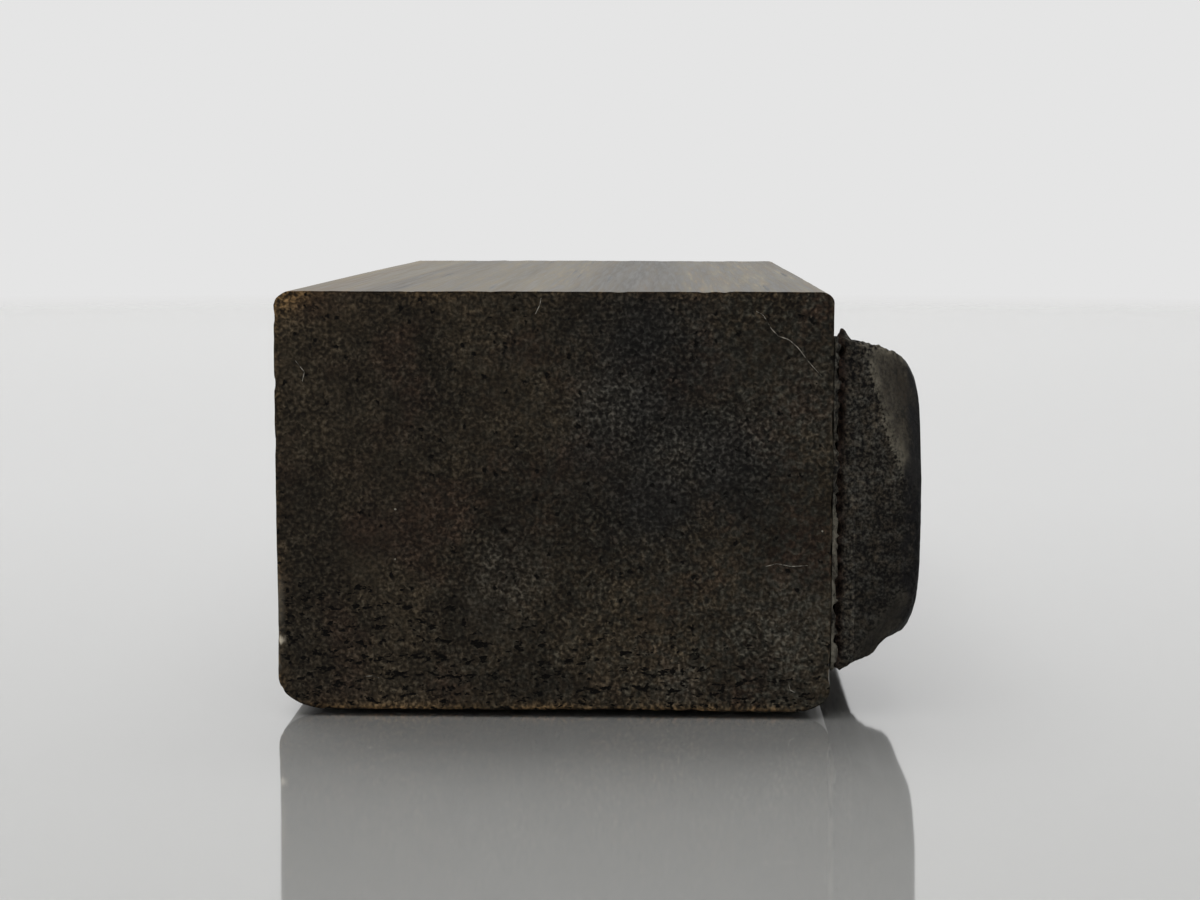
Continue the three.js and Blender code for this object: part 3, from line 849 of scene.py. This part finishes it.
def makeGlueFilm(name, node, material, bead):
    low, high = layerHeights(node)
    share = np.linspace(0, 1, glue["rings"])
    loops, normal, spots = trimmedLoops(low + (high - low) * share)[:3]
    gapFrom, gapMost = glue["gapRange"]
    fall, middle, least = glue["gapFade"]
    gaps = np.clip(roughNoise(spots, glue["gapCell"], 33, 3) - gapFrom, 0, gapMost)
    gaps = glue["gap"] * gaps * np.clip(loops[..., 1] / fall + middle, least, 1)
    squeezed = glue["ragged"] * roughNoise(spots, glue["cell"], 31, 3) - gaps
    nearEnd = np.clip(-normal[..., 0], 0, 1)
    full, most = (side + (end - side) * nearEnd for side, end in (glue["bead"], glue["most"]))
    squeezed = squeezed + full * np.cos(np.pi / 2 * share**2)[:, None]
    out = np.minimum(bead * squeezed + (1 - bead) * crumbDepth(spots), most)
    stray = bead * glue["wander"] * roughNoise(spots * (0, 1, 1), glue["wanderCell"], 35, 4)
    heights = spots[..., 0] + stray * nearEnd * share[:, None]
    made = makeLayer(name, heights, loops + out[..., None] * normal, material, {})
    return finishPiece(made, node)


for name, node, cementName, paleness, bead in glue["films"]:
    makeGlueFilm(name, node, driedCement(cementName, paleness), bead)
print("glue films made")


# Sponge rubber sheet, cut with the die: open cells, dull, reddish black by the glue and grimy like the die
sponge = {
    "dark": "#0a0706",
    "light": "#2e221b",
    "cellRange": (0.32, 0.7),
    "patch": 1.1,
    "patchShare": 0.8,
    "grimyRange": (0.45, 1.1),  # of the share of the sheet's thickness, with patches on top
    "relief": 0.09,
}


def spongeRubber():
    made, add, spot = startMaterial("spongeRubber")
    grain, grey = addCrumb(add, spot)
    patches = add("TexNoise", {"Vector": spot, "Scale": 1 / sponge["patch"], "Detail": 3})
    lift = add("Attribute", out="Fac", attribute_name="lift")
    level = add("Math", (patches, sponge["patchShare"], lift), operation="MULTIPLY_ADD")
    grimyAndShaded = add("MapRange", (level, *sponge["grimyRange"]), **soft)
    share = add("MapRange", (grain, *sponge["cellRange"]))
    red = add("Mix", {0: share, 6: linear(sponge["dark"]), 7: linear(sponge["light"])}, **blend)
    colour = add("Mix", {0: grimyAndShaded, 6: red, 7: grey}, **blend)
    bump = add("Bump", {"Height": grain, "Strength": 0.7, "Distance": sponge["relief"] * mm})
    add("OutputMaterial", {"Surface": add("BsdfPrincipled", {
        "Base Color": colour, "Roughness": 0.85, "Normal": bump, "Specular IOR Level": 0.15, "IOR": 1.5})})
    return made


# Cushion sheet: the outline of the stack, roughened like the die and drawn in near the glue, where it has
# come away, by a broken groove that is deepest at its upper end
cushion = {
    "rings": 28,
    "groove": 0.42,
    "grooveHeight": 0.1,
    "grooveWidth": 0.13,
    "grooveCell": (1, 0.32, 0.32),
    "grooveShares": (0.4, 1.2),  # even and broken
    "grooveSide": 0.25,  # its depth along the sides
    "upperGroove": 1.6,
    "upperFrom": (3, 6),  # from and to this height over the middle of the stack
}


def makeCushion():
    low, high = layerHeights("cushion_sheet")
    heights = np.linspace(low, high, cushion["rings"])
    loops, normal, spots = trimmedLoops(heights)[:3]
    even, broken = cushion["grooveShares"]
    start, full = cushion["upperFrom"]
    groove = np.exp(-(((heights - low - cushion["grooveHeight"]) / cushion["grooveWidth"]) ** 2))[:, None]
    strays = roughNoise(spots * (0, 1, 1), cushion["grooveCell"], 41, 4)
    groove = groove * np.clip(even + broken * strays, 0, broken)
    upper = np.clip((loops[..., 1] - start) / (full - start), 0, 1)
    groove = groove * (1 + (cushion["upperGroove"] - 1) * upper)
    groove = groove * np.clip(np.abs(normal[..., 0]), cushion["grooveSide"], 1)
    out = crumbDepth(spots) - cushion["groove"] * groove
    lift = (spots[..., 0] - low) / (high - low)
    made = makeLayer("cushionSheet", heights[:, None], loops + out[..., None] * normal, spongeRubber(),
                     {"lift": lift})
    return finishPiece(made, "cushion_sheet")


makeCushion()
print("cushion made")


# Moulded stamp rubber: the first cut tore its ends into crumb, the bevels are smoother, scuffed pale along
# their ridges with a painted highlight there that is strongest high up, and ink has blackened the rim and
# face. Painted shade darkens it low down.
rubber = {
    "bevelDark": "#12100d",
    "bevelLight": "#2b251d",
    "scuffAndHighlight": "#666155",
    "ink": "#0f0f11",
    "patch": 0.7,
    "streak": (1.2, 0.3, 3),  # across, along and up, in millimetres
    "streakTurn": -14,
    "tornRange": (0.3, 0.7, -0.08, 0.08),  # of the crumb, and how far it moves the edge of a bevel
    "bevelRange": (-0.15, 0.25),  # past the ridge
    "scuffRange": (-0.08, 0.03, 0.12, 0.34, 0.8),  # past the ridge: starts, is full, fades, is faint, ends
    "scuffFaint": 0.4,
    "highlightHeights": (7.5, 11, 0.45, 1),  # painted highlight: heights, and its strength there, stronger high up
    "scuffPatches": (0.36, 0.6, 0.3, 0.9),
    "mottleRange": (0.42, 0.6),
    "mottledScuff": (0.35, 1),
    "lowShade": (12, 5, 0, 0.5),  # painted shade: heights, and its strength there, darker low down
    "relief": 0.09,
    "bevelRelief": 0.7,
    "shine": (0.85, 0.68),  # roughness of crumb and bevel
}


def inkedRubber():
    made, add, spot = startMaterial("inkedRubber")
    grain, rough = addCrumb(add, spot)
    patches = add("TexNoise", {"Vector": spot, "Scale": 1 / rubber["patch"], "Detail": 4, "Roughness": 0.6})
    long = add("Mapping", {"Vector": spot, "Scale": tuple(1 / size for size in rubber["streak"]),
                           "Rotation": (radians(rubber["streakTurn"]), 0, 0)})
    streak = add("TexNoise", {"Vector": long, "Scale": 1, "Detail": 5, "Roughness": 0.7})
    overCut, inked = (add("Attribute", out="Fac", attribute_name=key) for key in ("overCut", "inked"))
    upward = add("SeparateXYZ", (spot,), out="Z")
    torn = add("MapRange", (grain, *rubber["tornRange"]))
    torn = add("Math", (overCut, torn), operation="ADD")
    bevel = add("MapRange", (torn, *rubber["bevelRange"]), **soft)
    mottle = add("Math", (add("Math", (grain, streak), operation="ADD"), 0.5), operation="MULTIPLY")
    share = add("MapRange", (mottle, *rubber["mottleRange"]))

    # the scuff and its painted highlight rise and fall past the ridge, and are broken by patches, by painted
    # light that grows with height, and by mottle
    start, full, fading, faint, end = rubber["scuffRange"]
    scuffAndHighlightShare = add("MapRange", (torn, start, full), **soft)
    falling = add("MapRange", (torn, fading, faint, 1, rubber["scuffFaint"]), **soft)
    ending = add("MapRange", (torn, faint, end, 1, 0), **soft)
    patchy = add("MapRange", (patches, *rubber["scuffPatches"]), **soft)
    lit = add("MapRange", (upward, *rubber["highlightHeights"]), **soft)
    mottled = add("MapRange", (share, 0, 1, *rubber["mottledScuff"]))
    for mask in (falling, ending, patchy, lit, mottled):
        scuffAndHighlightShare = add("Math", (scuffAndHighlightShare, mask), operation="MULTIPLY")
    smooth = add("Mix", {0: share, 6: linear(rubber["bevelDark"]), 7: linear(rubber["bevelLight"])}, **blend)
    colour = add("Mix", {0: bevel, 6: rough, 7: smooth}, **blend)
    # painted shade: low down the die is darkened towards the crumb's dark colour
    grimyAndShaded = add("MapRange", (upward, *rubber["lowShade"]))
    # over the colour: the scuff with its painted highlight, the ink, and painted shade low down
    for mask, code in [(scuffAndHighlightShare, rubber["scuffAndHighlight"]), (inked, rubber["ink"]), (grimyAndShaded, crumb["dark"])]:
        colour = add("Mix", {0: mask, 6: colour, 7: linear(code)}, **blend)
    relief = add("MapRange", (bevel, 0, 1, 1, rubber["bevelRelief"]))
    height = add("Math", (grain, relief), operation="MULTIPLY")
    bump = add("Bump", {"Height": height, "Strength": 0.7, "Distance": rubber["relief"] * mm})
    shine = add("MapRange", (bevel, 0, 1, *rubber["shine"]))
    add("OutputMaterial", {"Surface": add("BsdfPrincipled", {
        "Base Color": colour, "Roughness": shine, "Normal": bump, "Specular IOR Level": 0.15, "IOR": 1.52})})
    return made


die = {
    "plateRings": 17,
    "floorShares": (0.03, 0.5, 0.97),  # rings across the bare plate
    "rings": 36,
    "rimRings": 8,
    "rimFrom": 3.6,
    "rimLand": 0.3,  # first ring of the face, inwards from the rim
    "leastRadius": 0.1,
    "inkFrom": 3.05,
    "inkFade": 0.5,
    "inkMost": 0.9,
    "inkRagged": (0.35, (0.4, 0.8, 0.8)),  # height and size
    "sideBevel": 0.3,  # a side wall that has come in by more than this was cut by the second stroke
    "sideFacing": 0.7,  # a wall that points up or down by more than this is a side wall
    "cutLimits": (-1, 1.5),
    "smoothing": (0.3, 0.2),  # past a ridge the crumb goes over this distance, down to this share
}


# Rise of the rules over the pocket floor, from 0 to 1: a rule's profile by the distance from its middle
def ruleRise(y, z):
    across = np.clip(np.abs(y[..., None] - barMiddles) - barWider, 0, None)
    nearest = np.minimum(across.min(axis=-1), np.abs(z - longPlace))
    return np.interp(nearest, form["profileOffset"], form["profileRise"])


# The die: the trimmed wall of the plate, the bare plate beside the line, the wall of the relief up to its
# rim, rings that step over the frame and down to the pocket floors, then the ruled field as a grid
def makeDie():
    low, high = layerHeights("rubber_die")
    heights = np.concatenate([np.linspace(low, form["shoulder"], die["plateRings"]),
                              np.linspace(form["shoulder"], die["rimFrom"], die["rings"]),
                              np.linspace(die["rimFrom"], high, die["rimRings"] + 1)[1:]])
    loops, normal, spots, overCut = trimmedLoops(heights)
    sideFacing = np.abs(normal[..., 1])
    overSide = sideFacing * (stack["width"] / 2 - np.abs(loops[..., 1])) - die["sideBevel"]
    overSide = np.where(sideFacing > die["sideFacing"], overSide, stack["uncut"])
    overCut = np.clip(np.maximum(overCut, overSide), *die["cutLimits"])
    ragged, cell = die["inkRagged"]
    inkEdge = heights[:, None] - die["inkFrom"] + ragged * roughNoise(spots, cell, 52, 4)
    inked = die["inkMost"] * np.clip(inkEdge / die["inkFade"], 0, 1)
    reach, least = die["smoothing"]
    loops = loops + (crumbDepth(spots) * np.clip(1 - overCut / reach, least, 1))[..., None] * normal
    root = die["plateRings"]
    loops[root] -= form["ledge"] * normal[root]

    # the face: rings with the profile of a rule, then the field inside them
    edges, radii = outlineEdges(high)
    profile = np.array(form["profileOffset"]) - form["profileOffset"][0]
    topRings = []
    for back, rise in [(die["rimLand"], 1), *zip(form["ruleWidth"] + profile, form["profileRise"])]:
        inner = (edges[0] + back, edges[1] - back, edges[2] + back, edges[3] - back)
        corner = [tuple(max(r - back, die["leastRadius"]) for r in pair) for pair in radii]
        y, z = roundedRectangle(stackU[stackRim], stackV[stackRim], inner, corner)
        topRings.append((high - form["pocketDepth"] * (1 - np.maximum(rise, ruleRise(y, z))), y, z))
    capY, capZ = roundedRectangle(stackU[1:-1, 1:-1], stackV[1:-1, 1:-1], inner, corner)
    capT = high - form["pocketDepth"] * (1 - ruleRise(capY, capZ))

    # plate, bare floor, relief and face, one after the other
    plate = onMount(heights[:root, None], loops[:root, :, 0], loops[:root, :, 1])
    relief = onMount(heights[root:, None], loops[root:, :, 0], loops[root:, :, 1], relief=True)
    floor = plate[-1] + np.array(die["floorShares"])[:, None, None] * (relief[0] - plate[-1])
    overCut, inked = (np.insert(rows, [root] * len(floor), rows[root], axis=0) for rows in (overCut, inked))
    top = np.stack([onMount(*ring, relief=True) for ring in topRings])
    rings = np.concatenate([plate, floor, relief, top])
    ringCount, length = rings.shape[:2]
    field = onMount(capT, capY, capZ, relief=True)
    points = np.concatenate([rings.reshape(-1, 3), field.reshape(-1, 3)])
    faces = np.concatenate([
        wallQuads(ringCount, length),
        capQuads(len(columnLine) - 1, len(rowLine) - 1, (ringCount - 1) * length, ringCount * length),
    ])
    topCount = len(topRings) * length + capT.size
    attributes = {
        "overCut": np.concatenate([overCut.ravel(), np.full(topCount, die["cutLimits"][1])]),
        "inked": np.concatenate([inked.ravel(), np.ones(topCount)]),
    }
    made = makePiece("rubberDie", points, faces, [inkedRubber()], attributes,
                     flatFaces=[np.arange(length)[::-1]])
    return finishPiece(made, "rubber_die")


makeDie()
print("die made")


# Table: a wide disc of pale stone under a thin clear lacquer, both melting into the backdrop at the rim.
# The lacquer gives the clear mirror image, and the shadow falls on the stone below it.
table = {
    "radius": 600,
    "hub": 0.02,  # radius of the middle face over that of the disc
    "fade": (330, 460),
    "rings": 24,
    "turns": 96,
    "stone": "#a9a9a7",
    "mirror": "#f9f9f9",
    "gloss": 0.05,
    "lacquer": 0.22,  # thickness
    "haze": 0.24,  # share that passes at the flattest angles
}


def tableDisc(name, height, surfaceOf):
    made, add, spot = startMaterial(name)
    away = add("VectorMath", (spot,), out="Value", operation="LENGTH")
    fade = add("MapRange", (away, *table["fade"]), **soft)
    add("OutputMaterial", {"Surface": add("MixShader", (fade, surfaceOf(add), add("BsdfTransparent")))})
    reach = np.linspace(table["hub"], 1, table["rings"])[:, None] * table["radius"]
    turn = np.linspace(0, 2 * np.pi, table["turns"], endpoint=False)[None, :]
    points = np.stack([reach * np.cos(turn), reach * np.sin(turn), height + 0 * reach * turn], axis=-1)
    quads = wallQuads(table["rings"], table["turns"])[:, ::-1]
    hub = np.arange(table["turns"])
    makePiece(name, points.reshape(-1, 3), quads, [made], {}, flatFaces=[hub])


# Clear lacquer, poured and level: a sharp mirror at flat angles. What neither of its faces reflects passes.
def clearLacquer(add):
    passed = add("Math", (1, add("Fresnel", {"IOR": 1.5})), operation="SUBTRACT")
    passed = add("Math", (passed, passed), operation="MULTIPLY")
    passed = add("Math", (passed, table["haze"]), operation="MAXIMUM")
    mirror = add("BsdfPrincipled", {"Base Color": linear(table["mirror"]), "Metallic": 1,
                                    "Roughness": table["gloss"]})
    return add("MixShader", (passed, mirror, add("BsdfTransparent")))


# Pale stone, honed: an even matt ground that takes the soft shadow
def paleStone(add):
    return add("BsdfPrincipled", {"Base Color": linear(table["stone"]), "Roughness": 0.9,
                                  "Specular IOR Level": 0})


tableDisc("clearLacquer", 0, clearLacquer)
tableDisc("paleStone", -table["lacquer"], paleStone)


# Light: an even pale room, a broad soft lamp above and behind, a second one above and in front on the
# left, and the pale backdrop that camera and gloss see
light = {
    "backdrop": "#e5e5e5",
    "room": 0.75,
    "aim": (0, 0, 9),
    "lamps": (
        {"name": "backLamp", "place": (-40, 300, 420), "size": (600, 420), "watts": 3.2},
        {"name": "topLamp", "place": (-160, -160, 420), "size": (500, 500), "watts": 1.2},
    ),
}


def makeLight():
    world = bpy.data.worlds.new("paleRoom")
    bpy.context.scene.world = world
    world.use_nodes = True
    world.node_tree.nodes.clear()
    add = partial(addNode, world.node_tree)
    seen = add("LightPath", out="Is Camera Ray")
    for name in ("Is Glossy Ray", "Is Transmission Ray"):
        seen = add("Math", (seen, add("LightPath", out=name)), operation="MAXIMUM")
    room = add("Background", {"Color": (1, 1, 1, 1), "Strength": light["room"]})
    backdrop = add("Background", {"Color": linear(light["backdrop"]), "Strength": 1})
    add("OutputWorld", {"Surface": add("MixShader", (seen, room, backdrop))})
    for lamp in light["lamps"]:
        data = bpy.data.lights.new(lamp["name"], "AREA")
        data.shape = "RECTANGLE"
        data.size, data.size_y = (side * mm for side in lamp["size"])
        data.energy = lamp["watts"]
        made = bpy.data.objects.new(lamp["name"], data)
        made.visible_glossy = False  # the table mirrors the backdrop only
        made.location = Vector(lamp["place"]) * mm
        towards = Vector(light["aim"]) * mm - made.location
        made.rotation_euler = towards.to_track_quat("-Z", "Y").to_euler()
        bpy.context.scene.collection.objects.link(made)


makeLight()
bpy.context.scene.view_settings.view_transform = "Standard"
print("table and light made")
